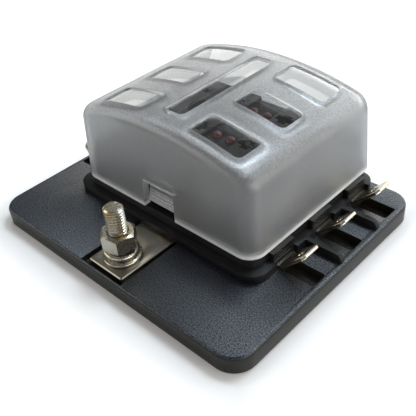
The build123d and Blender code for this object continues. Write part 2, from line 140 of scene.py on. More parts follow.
class MetalSettings(bpy.types.PropertyGroup):
    thread_pitch: length("Thread pitch", "Rise of the stud's thread in a turn", 0.8 * MM)
    thread_depth: length("Thread depth", "Depth of the stud's thread", 0.46 * MM)
    nut_flats: length("Nut flats", "Size of the nut across its flats", 8.0 * MM)
    nut_turn: FloatProperty(name="Nut turn", description="How far the nut is turned", default=radians(14.0),
                            subtype="ANGLE", unit="ROTATION")
    spring_thickness: length("Spring washer", "Thickness of the split washer's wire", 1.2 * MM)
    spring_turn: FloatProperty(name="Spring turn", description="Where the split washer's gap lies",
                               default=radians(137.0), subtype="ANGLE", unit="ROTATION")
    round_steps: IntProperty(name="Round steps", description="Facets round the stud and washers",
                             default=48, min=12)
    plating: colour("Plating", "Colour of the plated metal", (0.66, 0.63, 0.57))
    brass: colour("Brass", "Colour of the bare cut edges", (0.76, 0.63, 0.40))


class StageSettings(bpy.types.PropertyGroup):
    lens: FloatProperty(name="Lens", description="Focal length of the camera in millimetres", default=54.18)
    yaw: FloatProperty(name="Yaw", description="Turn of the camera from +Y", default=radians(46.83),
                       subtype="ANGLE", unit="ROTATION")
    pitch: FloatProperty(name="Pitch", description="How far the camera looks down", default=radians(37.90),
                         subtype="ANGLE", unit="ROTATION")
    roll: FloatProperty(name="Roll", description="Turn of the camera about its view", default=radians(-5.80),
                        subtype="ANGLE", unit="ROTATION")
    place: FloatVectorProperty(name="Camera", description="Place of the camera", size=3,
                               subtype="TRANSLATION", unit="LENGTH", default=(0.10078, -0.0917, 0.10858))
    wall_glow: FloatProperty(name="Wall", description="Brightness of the bright studio wall", default=2.0)
    left_glow: FloatProperty(name="Left wall", description="Brightness of the wall on the left", default=1.1)
    sky_glow: FloatProperty(name="Skylight", description="Brightness of the cool window above", default=15.0)
    box_glow: FloatProperty(name="Softbox", description="Brightness of the softbox overhead", default=15.0)
    card_glow: FloatProperty(name="Cards", description="Brightness of the cards at the sides", default=2.2)
    fill_glow: FloatProperty(name="Fill", description="Brightness of the fill card in front", default=0.7)
    mirrored: FloatProperty(name="Mirrored", default=0.1,
                            description="Share of the white surroundings seen in gloss")
    ambient: FloatProperty(name="Ambient", description="Brightness of the room around", default=0.05)
    floor_size: length("Floor", "Half the size of the floor", 600 * MM)
    floor_glow: FloatProperty(name="Floor glow", description="Added glow of the floor, seen by the camera",
                              default=0.42)
    # Painted shade: the floor's glow is lower beside the plate, so the floor is darker there.
    shadow_glow: FloatProperty(name="Shadow glow", description="Added glow of the floor beside the plate",
                               default=0.06)
    shadow_reach: length("Shadow reach", "Distance from the plate at which the floor glows fully", 13 * MM)


# Node helpers

class Nodes:
    """A node tree with short calls to add and wire nodes."""

    def __init__(self, tree):
        self.tree = tree

    def add(self, kind, **values):
        """A node of that kind; values set its properties, or its inputs by name."""
        node = self.tree.nodes.new(kind)
        for key, value in values.items():
            if hasattr(node, key):
                setattr(node, key, value)
            else:
                node.inputs[key.replace("_", " ")].default_value = value
        return node

    def wire(self, source, target):
        """Links an output socket to an input socket."""
        self.tree.links.new(source, target)

    def math(self, operation, first, second=0.0):
        """One value worked out from one or two values or sockets."""
        node = self.add("ShaderNodeMath", operation=operation)
        for n, value in enumerate((first, second)):
            if isinstance(value, (int, float)):
                node.inputs[n].default_value = value
            else:
                self.wire(value, node.inputs[n])
        return node.outputs[0]

    def size(self, value):
        """The value without its sign."""
        return self.math("ABSOLUTE", value)

    def range(self, value, low, high, to_low, to_high):
        """The value carried from one range to another, held at the ends."""
        node = self.add("ShaderNodeMapRange")
        for n, limit in enumerate((low, high, to_low, to_high), start=1):
            node.inputs[n].default_value = limit
        self.wire(value, node.inputs[0])
        return node.outputs[0]

    def blend(self, fac, first, second):
        """Two colours mixed by a factor; each is a colour or a socket."""
        node = self.add("ShaderNodeMix", data_type="RGBA")
        self.wire(fac, node.inputs[0])
        for socket, value in ((node.inputs[6], first), (node.inputs[7], second)):
            if isinstance(value, bpy.types.NodeSocket):
                self.wire(value, socket)
            else:
                socket.default_value = (*value, 1)
        return node.outputs[2]


class Look(Nodes):
    """A new material's nodes, around its Principled shader."""

    def __init__(self, name):
        self.material = bpy.data.materials.new(name)
        self.material.use_nodes = True
        super().__init__(self.material.node_tree)
        self.shader = self.tree.nodes["Principled BSDF"]
        self.output = self.tree.nodes["Material Output"]

    def set(self, **values):
        """Constants on the shader's own sockets."""
        for key, value in values.items():
            self.shader.inputs[key.replace("_", " ")].default_value = value

    def feed(self, **sources):
        """Sockets wired to the shader's inputs of those names."""
        for key, source in sources.items():
            self.wire(source, self.shader.inputs[key.replace("_", " ")])

    def position(self):
        """Object coordinates, in metres."""
        return self.add("ShaderNodeTexCoord").outputs["Object"]

    def noise(self, size, detail=3.0, roughness=0.5, stretch=(1, 1, 1)):
        """Noise whose features are about that size in metres."""
        mapping = self.add("ShaderNodeMapping")
        mapping.inputs["Scale"].default_value = [s / size for s in stretch]
        self.wire(self.position(), mapping.inputs["Vector"])
        noise = self.add("ShaderNodeTexNoise", Scale=1.0, Detail=detail, Roughness=roughness)
        self.wire(mapping.outputs["Vector"], noise.inputs["Vector"])
        return noise.outputs["Fac"]

    def bump(self, height, strength, distance):
        """Relief from a height of 0 to 1 that stands for that distance."""
        node = self.add("ShaderNodeBump", Strength=strength, Distance=distance)
        self.wire(height, node.inputs["Height"])
        self.wire(node.outputs["Normal"], self.shader.inputs["Normal"])

    def axes(self):
        """Object coordinates split into X, Y and Z."""
        split = self.add("ShaderNodeSeparateXYZ")
        self.wire(self.position(), split.inputs[0])
        return split.outputs

    def facing(self, axis):
        """One part of the surface's direction in the object's axes."""
        split = self.add("ShaderNodeSeparateXYZ")
        self.wire(self.add("ShaderNodeTexCoord").outputs["Normal"], split.inputs[0])
        return split.outputs[axis]


def scaled(rgb, factor):
    """The colour made lighter or darker by a factor."""
    return [min(1.0, part * factor) for part in rgb]


def plate_plastic(settings):
    """Charcoal plastic, spark-eroded on top and smoother on the sides and in the recesses."""
    m = Look("Textured charcoal plastic")
    grain = m.noise(settings.grain, detail=2.0, roughness=0.6)
    patch = m.noise(9 * MM, detail=2.0)
    up = m.range(m.facing(2), 0.5, 0.9, 0.0, 1.0)
    smooth_below, textured_above = plate_high.z - 1.2 * MM, plate_high.z - 0.6 * MM
    textured = m.math("MULTIPLY", up, m.range(m.axes()[2], smooth_below, textured_above, 0.0, 1.0))
    top = m.blend(m.range(grain, 0.35, 0.7, 0.0, 1.0), scaled(settings.top_colour, 0.6),
                  scaled(settings.top_colour, 1.6))
    top = m.blend(m.range(patch, 0.3, 0.7, 0.0, 0.35), top, scaled(settings.top_colour, 0.8))
    sparkle = m.math("MULTIPLY", textured, m.range(grain, 0.43, 0.66, 0.36, 1.45))
    plain = m.range(textured, 0.0, 1.0, 0.25, 0.0)
    m.feed(Base_Color=m.blend(textured, settings.side_colour, top),
           Roughness=m.range(grain, 0.3, 0.7, 0.25, 0.38), Specular_IOR_Level=m.math("ADD", sparkle, plain))
    m.set(Specular_Tint=(0.88, 0.95, 1.0, 1.0))
    relief = m.math("ADD", m.math("MULTIPLY", textured, 0.85), 0.15)
    m.bump(m.math("MULTIPLY", grain, relief), 1.0, 0.12 * MM)
    return m.material


def body_plastic(settings):
    """Satin black plastic of the socket body."""
    m = Look("Satin black plastic")
    fine = m.noise(0.25 * MM, detail=1.0)
    broad = m.noise(5 * MM, detail=2.0)
    m.feed(Base_Color=m.blend(broad, scaled(settings.body_colour, 0.8), scaled(settings.body_colour, 1.25)),
           Roughness=m.range(broad, 0.3, 0.7, 0.42, 0.52))
    m.set(Specular_IOR_Level=0.25)
    m.bump(fine, 0.12, 0.03 * MM)
    return m.material


def rounded_mask(m, across, along, half_width, half_length, corner, inner):
    """1 inside a rounded rectangle of the two sockets' plane and 0 outside it.

    Where inner is 1, on the inside of the shell, the edge lies further out and fades over a longer way.
    """
    edge, shift, fade = 0.1 * MM, 2.0 * MM, 1.5 * MM
    dx = m.math("MAXIMUM", m.math("SUBTRACT", m.size(across), half_width - corner), 0.0)
    dy = m.math("MAXIMUM", m.math("SUBTRACT", m.size(along), half_length - corner), 0.0)
    distance = m.math("SQRT", m.math("ADD", m.math("MULTIPLY", dx, dx), m.math("MULTIPLY", dy, dy)))
    within = m.math("ADD", m.math("SUBTRACT", corner, distance), m.math("MULTIPLY", inner, shift))
    share = m.math("DIVIDE", within, m.math("ADD", m.math("MULTIPLY", inner, fade), edge))
    return m.range(share, 0.0, 1.0, 0.0, 1.0)


def clear_panes(m, settings):
    """1 on the six windows and the long middle window, on both faces of the shell's top."""
    steep, crown_depth = 0.7, 7.3 * MM
    x, y, z = m.axes()
    half_rows = len(ROWS) * ROW_PITCH / 2
    across = m.math("SUBTRACT", m.size(x), (settings.window_inner + settings.window_outer) / 2)
    from_first = m.math("ADD", y, half_rows - ROW_MIDDLE)
    along = m.math("SUBTRACT", m.math("MODULO", from_first, ROW_PITCH), ROW_PITCH / 2)
    in_rows = m.math("LESS_THAN", m.size(m.math("SUBTRACT", y, ROW_MIDDLE)), half_rows)
    unarched = m.math("ADD", z, m.math("DIVIDE", m.math("MULTIPLY", x, x), 2 * settings.crown_radius))
    inner = m.math("LESS_THAN", unarched, cover_high.z - 2 * settings.recess)
    panes = rounded_mask(m, across, along, (settings.window_outer - settings.window_inner) / 2,
                         settings.window_depth / 2, settings.window_corner, inner)
    middle = rounded_mask(m, x, m.math("SUBTRACT", y, settings.middle_place), settings.middle_width / 2,
                          settings.middle_length / 2, settings.window_corner, inner)
    level = m.math("GREATER_THAN", m.size(m.facing(2)), steep)
    on_crown = m.math("MULTIPLY", level, m.math("GREATER_THAN", z, cover_high.z - crown_depth))
    return m.math("MULTIPLY", on_crown, m.math("MAXIMUM", m.math("MULTIPLY", panes, in_rows), middle))


def cover_plastic(settings):
    """Milky translucent plastic with polished clear windows in the top."""
    m = Look("Frosted cover plastic")
    clear = clear_panes(m, settings)
    solid = m.math("SUBTRACT", 1.0, clear)
    haze = m.noise(0.5 * MM, detail=3.0)
    cloud = m.noise(14 * MM, detail=2.0)
    # Frosted grain in the milky colour. Its contrast is strongest on upward faces, where it is painted
    # sparkle standing in for glints.
    on_top = m.range(m.facing(2), 0.4, 0.8, 0.2, 1.0)
    grain_and_painted_sparkle = m.math("MULTIPLY", m.range(haze, 0.35, 0.65, -1.0, 1.0), on_top)
    # Painted highlight: a near-white band along the bottom edge of the walls lets less light through,
    # standing in for light caught in the wall's edge.
    rim_full, rim_gone = cover_low.z + 0.9 * MM, cover_low.z + 1.3 * MM
    rim = m.range(m.axes()[2], rim_full, rim_gone, 1.0, 0.0)
    milk = m.blend(m.range(grain_and_painted_sparkle, -1.0, 1.0, 0.0, 1.0), scaled(settings.tint, 0.7),
                   scaled(settings.tint, 1.22))
    body = m.blend(rim, milk, (0.95, 0.95, 0.94))
    through = m.math("MULTIPLY", m.range(cloud, 0.3, 0.7, 0.84, 0.90), m.range(rim, 0.0, 1.0, 1.0, 0.25))
    glance = m.add("ShaderNodeLayerWeight", Blend=0.5)
    glint = m.math("ADD", m.math("MULTIPLY", m.math("POWER", glance.outputs["Facing"], 3.5), 0.95), 0.05)
    m.feed(Base_Color=m.blend(clear, body, (0.97, 0.98, 0.98)),
           Roughness=m.range(clear, 0.0, 1.0, settings.frost, 0.03),
           Transmission_Weight=m.math("MULTIPLY", through, solid),
           Alpha=m.math("ADD", m.math("MULTIPLY", glint, clear), solid), Metallic=clear)
    m.set(IOR=1.58)
    return m.material


def plated_metal(name, settings, tone, roughness, stretch=(1, 1, 1), edges=None):
    """Bright plated metal with a fine grain and warmer stains.

    Edges is the axis (0 to 2) that the bare brass cut edges face, where there are any.
    """
    m = Look(name)
    grain = m.noise(0.5 * MM, detail=2.0, stretch=stretch)
    stain = m.noise(4.5 * MM, detail=2.0)
    warm = [part * tone * tint for part, tint in zip(settings.plating, (0.93, 0.84, 0.64))]
    base = m.blend(m.range(stain, 0.35, 0.65, 0.0, 1.0), scaled(settings.plating, tone), warm)
    if edges is not None:
        base = m.blend(m.range(m.size(m.facing(edges)), 0.7, 0.9, 0.0, 1.0), base, settings.brass)
    m.feed(Base_Color=base, Roughness=m.range(grain, 0.3, 0.7, roughness * 0.92, roughness * 1.1))
    m.set(Metallic=1.0)
    return m.material


def lamp_plastic():
    """Clear red plastic of the lamp lenses."""
    m = Look("Clear red plastic")
    m.feed(Base_Color=m.blend(m.noise(1.2 * MM, detail=1.0), (0.05, 0.002, 0.002), (0.13, 0.007, 0.005)))
    m.set(Roughness=0.12, IOR=1.5)
    return m.material


def board_green():
    """Green lacquered board with a faint weave."""
    m = Look("Green board lacquer")
    weave = m.noise(0.5 * MM, detail=1.0, stretch=(1, 3, 1))
    m.feed(Base_Color=m.blend(weave, (0.01, 0.09, 0.03), (0.02, 0.14, 0.05)))
    m.set(Roughness=0.35)
    m.bump(weave, 0.2, 0.02 * MM)
    return m.material


def chip_ceramic():
    """Dark chip resistors with bright end caps."""
    m = Look("Chip resistor")
    chip_x, half_body = 15.65 * MM, 1.15 * MM
    along = m.math("SUBTRACT", m.size(m.axes()[0]), chip_x)
    cap = m.math("GREATER_THAN", m.size(along), half_body)
    dark = m.blend(m.noise(0.2 * MM), (0.015, 0.015, 0.018), (0.03, 0.03, 0.035))
    m.feed(Base_Color=m.blend(cap, dark, (0.6, 0.6, 0.58)), Roughness=m.range(cap, 0.0, 1.0, 0.45, 0.25))
    return m.material


# Mesh helpers

def link_mesh(name, mesh):
    """A new object in the scene with that mesh."""
    piece = bpy.data.objects.new(name, mesh)
    bpy.context.scene.collection.objects.link(piece)
    return piece


def loose(name, bm):
    """An object from a bmesh, not yet a piece of the model."""
    bmesh.ops.recalc_face_normals(bm, faces=bm.faces)
    mesh = bpy.data.meshes.new(name)
    bm.to_mesh(mesh)
    bm.free()
    return link_mesh(name, mesh)


def carve(target, *steps):
    """Boolean steps of (operation, tool) on the target; the tools are used up."""
    for operation, tool in steps:
        cut = target.modifiers.new(operation.title(), "BOOLEAN")
        cut.operation = operation
        cut.solver = "EXACT"
        cut.object = tool
        mesh = bpy.data.meshes.new_from_object(target.evaluated_get(bpy.context.evaluated_depsgraph_get()))
        target.modifiers.remove(cut)
        target.data = mesh
        bpy.data.objects.remove(tool)


def soften(piece, width, sharp):
    """Small bevels along the edges that are sharper than an angle in degrees."""
    edge = piece.modifiers.new("Edges", "BEVEL")
    edge.width = width
    edge.segments = BEVEL_STEPS
    edge.limit_method = "ANGLE"
    edge.angle_limit = radians(sharp)
    edge.harden_normals = True


def finish_piece(piece, body, material, nodes, sharp, bevel=0.0):
    """Shades a new piece, gives it its material and puts it on its body in place of the named nodes."""
    mesh = piece.data
    mesh.name = piece.name
    mesh.shade_smooth()
    mesh.set_sharp_from_angle(angle=radians(sharp))
    mesh.materials.clear()
    mesh.materials.append(material)
    if bevel:
        soften(piece, bevel, sharp)
    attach(piece, body)
    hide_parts(*nodes)


def dress_node(name, material, bevel=0.0):
    """Material, welded corners and softened edges for a construction node that stays."""
    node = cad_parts[name]
    node.data.materials.clear()
    node.data.materials.append(material)
    for polygon in node.data.polygons:
        polygon.use_smooth = True
    weld = node.modifiers.new("Weld", "WELD")
    weld.merge_threshold = 0.001 * MM
    if bevel:
        soften(node, bevel, sharp=30)


def turned(name, outline, steps, centre=STUD, arc=2 * pi, rise=0.0):
    """A solid turned from (radius, height) points about an upright axis, the stud's if none is named.

    With a rise the outline is a closed section, carried up as it turns.
    """
    bm = bmesh.new()
    verts = [bm.verts.new((centre[0] + r, centre[1], z)) for r, z in outline]
    edges = [bm.edges.new(pair) for pair in zip(verts, verts[1:])]
    if rise:
        edges.append(bm.edges.new((verts[-1], verts[0])))
        edges.append(bm.faces.new(verts))
    bmesh.ops.spin(bm, geom=verts + edges, cent=(*centre, 0), axis=(0, 0, 1), angle=arc, steps=steps,
                   dvec=(0, 0, rise / steps), use_merge=not rise)
    bmesh.ops.remove_doubles(bm, verts=bm.verts, dist=MERGE)
    return loose(name, bm)


def about_stud(piece, angle):
    """Turns a loose piece's mesh about the stud's axis."""
    place = Matrix.Translation((*STUD, 0))
    piece.data.transform(place @ Matrix.Rotation(angle, 4, "Z") @ place.inverted())


def ring_outline(bore, radius, low, high, edge):
    """Closed section of a washer, its outer edges eased."""
    return [(bore, low), (radius - edge, low), (radius, low + edge), (radius, high - edge),
            (radius - edge, high), (bore, high), (bore, low)]


def block_mesh(low, high, corner=0.0, steps=1):
    """A bmesh of an upright block between two corners, its upright edges rounded."""
    size = [top - bottom for bottom, top in zip(low, high)]
    bm = bmesh.new()
    bmesh.ops.create_cube(bm, size=1)
    bmesh.ops.scale(bm, vec=size, verts=bm.verts)
    bmesh.ops.translate(bm, vec=[(bottom + top) / 2 for bottom, top in zip(low, high)], verts=bm.verts)
    if corner:
        upright = [e for e in bm.edges if abs(e.verts[0].co.z - e.verts[1].co.z) > size[2] / 2]
        bmesh.ops.bevel(bm, geom=upright, offset=corner, affect="EDGES", segments=steps, profile=0.5,
                        material=-1)
    return bm


def split_at(bm, x):
    """Splits the faces of a bmesh where they cross that place on the X axis."""
    bmesh.ops.bisect_plane(bm, geom=[*bm.verts, *bm.edges, *bm.faces], plane_co=(x, 0, 0),
                           plane_no=(1, 0, 0))


def crown_at(x, crown, radius):
    """Height of an arch of that radius and crown at a distance from the centre line."""
    return crown - radius + sqrt(radius * radius - x * x)


def arched_block(name, settings, inset, edge, drop=0.0):
    """Drafted block with an arched top, inside the cover's outside by the inset."""
    rim = cover_low.z
    lean = tan(settings.draft)
    half_width = (cover_high.x - cover_low.x) / 2 - inset
    half_depth = (cover_high.y - cover_low.y) / 2 - inset
    crown = cover_high.z - inset
    bm = block_mesh((-half_width, -half_depth, -1), (half_width, half_depth, 1), settings.corner - inset,
                    CORNER_STEPS)
    top = max(bm.faces, key=lambda f: f.calc_center_median().z)
    rounding = [i * pi / 2 / EDGE_STEPS for i in range(EDGE_STEPS + 1)]
    for before, after in zip(rounding, rounding[1:]):
        bmesh.ops.inset_region(bm, faces=[top], thickness=edge * (cos(before) - cos(after)),
                               depth=edge * (sin(after) - sin(before)), use_even_offset=True)
    flat = half_width - settings.corner
    for n in range(-ARCH_STEPS, ARCH_STEPS + 1):
        split_at(bm, flat * n / ARCH_STEPS)
    for v in bm.verts:
        x, y = v.co.x, v.co.y
        z = rim - drop
        if v.co.z > 0:
            z = crown_at(x, crown, settings.crown_radius - inset) + v.co.z - 1 - edge
        shrink = (z - rim) * lean
        v.co = (x * (1 - shrink / half_width), ROW_MIDDLE + y * (1 - shrink / half_depth), z)
    return loose(name, bm)


def window_tool(name, settings, low, high):
    """Rounded cutter whose underside follows the crown at the depth of the recess."""
    below, above, slice_width = 12 * MM, 2 * MM, 2 * MM
    bm = block_mesh((*low, cover_high.z - below), (*high, cover_high.z + above), settings.window_corner,
                    WINDOW_STEPS)
    width = high[0] - low[0]
    slices = max(2, round(width / slice_width))
    for n in range(1, slices):
        split_at(bm, low[0] + width * n / slices)
    for v in bm.verts:
        if v.co.z < cover_high.z:
            v.co.z = crown_at(v.co.x, cover_high.z, settings.crown_radius) - settings.recess
    return loose(name, bm)


def tongue_tool(name, settings, end):
    """Ridged spring tongue inside a notch: end is -1 at the stud's side and 1 at the back."""
    front = cover_low.y + settings.tongue_inset
    back = front + settings.tongue_thickness
    foot, bend, root = settings.tongue_foot, settings.tongue_bend, settings.tongue_root
    flare, half_width = settings.tongue_flare, settings.tongue_width / 2
    first_ridge, crest_drop, valley_drop, valley_out = 0.35, 0.2 * MM, 0.45 * MM, 0.05 * MM
    outline = [(back - flare, foot), (back, bend), (back, root), (front, root), (front, bend)]
    for n in range(RIDGES):
        z = bend - (n + first_ridge) * settings.ridge_pitch
        y = front - flare * (bend - z) / (bend - foot)
        outline += [(y, z), (y - settings.ridge_height, z - crest_drop), (y - valley_out, z - valley_drop)]
    outline.append((front - flare, foot))
    bm = bmesh.new()
    side = bm.faces.new([bm.verts.new((-half_width, y, z)) for y, z in outline])
    grown = bmesh.ops.extrude_face_region(bm, geom=[side])["geom"]
    bmesh.ops.translate(bm, vec=(2 * half_width, 0, 0),
                        verts=[v for v in grown if isinstance(v, bmesh.types.BMVert)])
    if end > 0:
        for v in bm.verts:
            v.co.y = 2 * ROW_MIDDLE - v.co.y
    return loose(name, bm)


# Operators, one for each piece or group of like pieces

class FUSEBLOCK_OT_plate(bpy.types.Operator):
    """Dress the base plate in textured charcoal plastic"""
    bl_idname = "fuseblock.plate"
    bl_label = "Base Plate"

    def execute(self, context):
        dress_node("base_plate", plate_plastic(context.scene.fuse_plate), bevel=0.12 * MM)
        return {"FINISHED"}


class FUSEBLOCK_OT_body(bpy.types.Operator):
    """Dress the socket body in satin black plastic"""
    bl_idname = "fuseblock.body"
    bl_label = "Fuse Body"

    def execute(self, context):
        dress_node("fuse_body", body_plastic(context.scene.fuse_plate), bevel=0.1 * MM)
        return {"FINISHED"}


class FUSEBLOCK_OT_cover(bpy.types.Operator):
    """Model the translucent cover with its recessed windows, notches and spring tongues"""
    bl_idname = "fuseblock.cover"
    bl_label = "Cover"

    def execute(self, context):
        settings = context.scene.fuse_cover
        wall, edge = settings.wall, settings.edge
        shell = arched_block("cover_shell", settings, 0.0, edge)
        cutters = [arched_block("inside", settings, wall, edge - wall, drop=1 * MM)]
        half_depth = settings.window_depth / 2
        for row in ROWS:
            y = ROW_MIDDLE + row * ROW_PITCH
            for side in SIDES:
                low, high = sorted((side * settings.window_inner, side * settings.window_outer))
                cutters.append(window_tool("window", settings, (low, y - half_depth),
                                           (high, y + half_depth)))
        half_width, half_length = settings.middle_width / 2, settings.middle_length / 2
        cutters.append(window_tool("slit", settings, (-half_width, settings.middle_place - half_length),
                                   (half_width, settings.middle_place + half_length)))
        half_notch, past, under = settings.notch_width / 2, 5 * MM, 2 * MM
        cutters.append(loose("notch", block_mesh(
            (-half_notch, cover_low.y - past, cover_low.z - under),
            (half_notch, cover_high.y + past, cover_low.z + settings.notch_height))))
        tongues = [tongue_tool("tongue", settings, end) for end in (-1, 1)]
        carve(shell, *(("DIFFERENCE", tool) for tool in cutters), *(("UNION", tool) for tool in tongues))
        finish_piece(shell, "cover", cover_plastic(settings), nodes=["cover"], sharp=32,
                     bevel=0.15 * MM)
        return {"FINISHED"}


class FUSEBLOCK_OT_supply(bpy.types.Operator):
    """Model the threaded stud, nut and washers and dress the bus bar"""
    bl_idname = "fuseblock.supply"
    bl_label = "Supply Stud"

    def execute(self, context):
        settings = context.scene.fuse_metal
        zinc = plated_metal("Bright zinc plating", settings, tone=0.82, roughness=0.26)
        self.stud(settings, zinc)
        self.nut(settings, zinc)
        self.washers(settings, zinc)
        nickel = plated_metal("Satin nickel plating", settings, tone=0.44, roughness=0.3,
                              stretch=(1, 0.12, 1))
        dress_node("bus_bar", nickel, bevel=0.06 * MM)
        return {"FINISHED"}

    def stud(self, settings, zinc):
        """Core, helical ridge and hexagon head in one, the ridge cut back to the stud's outside."""
        radius, tip = 2.5 * MM, 0.55 * MM
        head_radius, head_height, lap = 4.62 * MM, 2.0 * MM, 1.9 * MM
        pitch, steps = settings.thread_pitch, settings.round_steps
        root = radius - settings.thread_depth
        head_top, high = stud_low.z + head_height, stud_high.z
        low = head_top - lap
        core = turned("stud_thread", [(0, low), (root, low), (root, high), (0, high)], steps)
        start, inner = nut_low.z - 1.0 * MM, root - 0.15 * MM
        half_foot, half_crest = 0.47 * pitch, 0.07 * pitch
        profile = [(inner, -half_foot), (radius, -half_crest), (radius, half_crest), (inner, half_foot)]
        bm = bmesh.new()
        verts = [bm.verts.new((r, STUD[1], start + z)) for r, z in profile]
        face = bm.faces.new(verts)
        turns = round((high - start) / pitch) + 1
        bmesh.ops.spin(bm, geom=[face, *face.edges, *verts], cent=(*STUD, 0), axis=(0, 0, 1),
                       angle=turns * 2 * pi, steps=turns * THREAD_STEPS, dvec=(0, 0, pitch / THREAD_STEPS))
        bmesh.ops.remove_doubles(bm, verts=bm.verts, dist=MERGE)
        ridge = loose("ridge", bm)
        blank = turned("blank", [(0, low), (radius, low), (radius, high - tip), (radius - tip, high),
                                 (0, high)], steps)
        head = turned("head", [(0, stud_low.z), (head_radius, stud_low.z), (head_radius, head_top),
                               (0, head_top)], HEXAGON)
        carve(core, ("UNION", ridge), ("INTERSECT", blank), ("UNION", head))
        finish_piece(core, "block", zinc, nodes=["stud"], sharp=35)

    def nut(self, settings, zinc):
        """Hexagon with both faces turned down at the corners and a bore led in at both ends."""
        low, high = nut_low.z, nut_high.z
        chamfer, turned_share = radians(30), 0.93
        flats = settings.nut_flats / 2
        corner, face = flats / cos(pi / HEXAGON), flats * turned_share
        slope = (corner - face) * tan(chamfer)
        hexagon = turned("nut_hexagon", [(0, low), (corner, low), (corner, high), (0, high)], HEXAGON)
        about_stud(hexagon, settings.nut_turn)
        cone = turned("cone", [(0, low), (face, low), (corner, low + slope), (corner, high - slope),
                               (face, high), (0, high)], CONE_STEPS)
        bore, lead = 2.55 * MM, 0.3 * MM
        mouth = bore + 2 * lead
        hole = turned("bore", [(0, low - lead), (mouth, low - lead), (bore, low + lead), (bore, high - lead),
                               (mouth, high + lead), (0, high + lead)], settings.round_steps)
        carve(hexagon, ("INTERSECT", cone), ("DIFFERENCE", hole))
        finish_piece(hexagon, "nut", zinc, nodes=["stud_nut"], sharp=25, bevel=0.1 * MM)

    def washers(self, settings, zinc):
        """Flat washer and split spring washer."""
        edge, bore, steps = 0.15 * MM, 2.62 * MM, settings.round_steps
        outline = ring_outline(bore, (flat_high.x - flat_low.x) / 2, flat_low.z, flat_high.z, edge)
        flat = turned("washer_flat", outline, steps)
        finish_piece(flat, "washers", zinc, nodes=["flat_washer"], sharp=50)
        thick, gap = settings.spring_thickness, radians(14)
        rise = spring_high.z - spring_low.z - thick
        outline = ring_outline(bore, (spring_high.y - spring_low.y) / 2, spring_low.z, spring_low.z + thick,
                               2 * edge)[:-1]
        spring = turned("washer_spring", outline, steps, arc=gap - 2 * pi, rise=rise)
        about_stud(spring, settings.spring_turn)
        finish_piece(spring, "washers", zinc, nodes=["spring_washer"], sharp=50)


class FUSEBLOCK_OT_terminals(bpy.types.Operator):
    """Dress the output terminals and bus clips in bright tin with bare brass edges"""
    bl_idname = "fuseblock.terminals"
    bl_label = "Terminals"

    def execute(self, context):
        settings = context.scene.fuse_metal
        tin = plated_metal("Bright tin plating", settings, tone=1.12, roughness=0.22, edges=1)
        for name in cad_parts:
            if name.startswith(("output_terminal", "bus_clip")):
                dress_node(name, tin, bevel=0.05 * MM)
        return {"FINISHED"}


class FUSEBLOCK_OT_lamps(bpy.types.Operator):
    """Model the red indicator lamps and dress their board, legs and resistors"""
    bl_idname = "fuseblock.lamps"
    bl_label = "Lamps"

    def execute(self, context):
        red = lamp_plastic()
        radius, flange_height = 1.5 * MM, 1.0 * MM
        angles = [n * pi / 2 / DOME_STEPS for n in range(DOME_STEPS)]
        names = sorted(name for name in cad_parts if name.startswith("led_") and name[4:].isdigit())
        for name in names:
            low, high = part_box(name)
            flange, ledge = (high.x - low.x) / 2, low.z + flange_height
            dome = [(radius * cos(angle), high.z - radius + radius * sin(angle)) for angle in angles]
            outline = [(0, low.z), (flange, low.z), (flange, ledge), (radius, ledge), *dome, (0, high.z)]
            centre = ((low.x + high.x) / 2, (low.y + high.y) / 2)
            lens = turned(name.replace("led", "lamp"), outline, LAMP_STEPS, centre)
            finish_piece(lens, "block", red, nodes=[name], sharp=40)
        dress_node("led_board", board_green(), bevel=0.05 * MM)
        dress_node("resistors", chip_ceramic(), bevel=0.05 * MM)
        wire = plated_metal("Tinned wire", context.scene.fuse_metal, tone=1.0, roughness=0.3)
        dress_node("led_leads", wire)
        return {"FINISHED"}


class FUSEBLOCK_OT_screws(bpy.types.Operator):
    """Dress the body screws under the plate"""
    bl_idname = "fuseblock.screws"
    bl_label = "Body Screws"

    def execute(self, context):
        zinc = plated_metal("Screw zinc", context.scene.fuse_metal, tone=0.85, roughness=0.3)
        dress_node("body_screws", zinc)
        return {"FINISHED"}


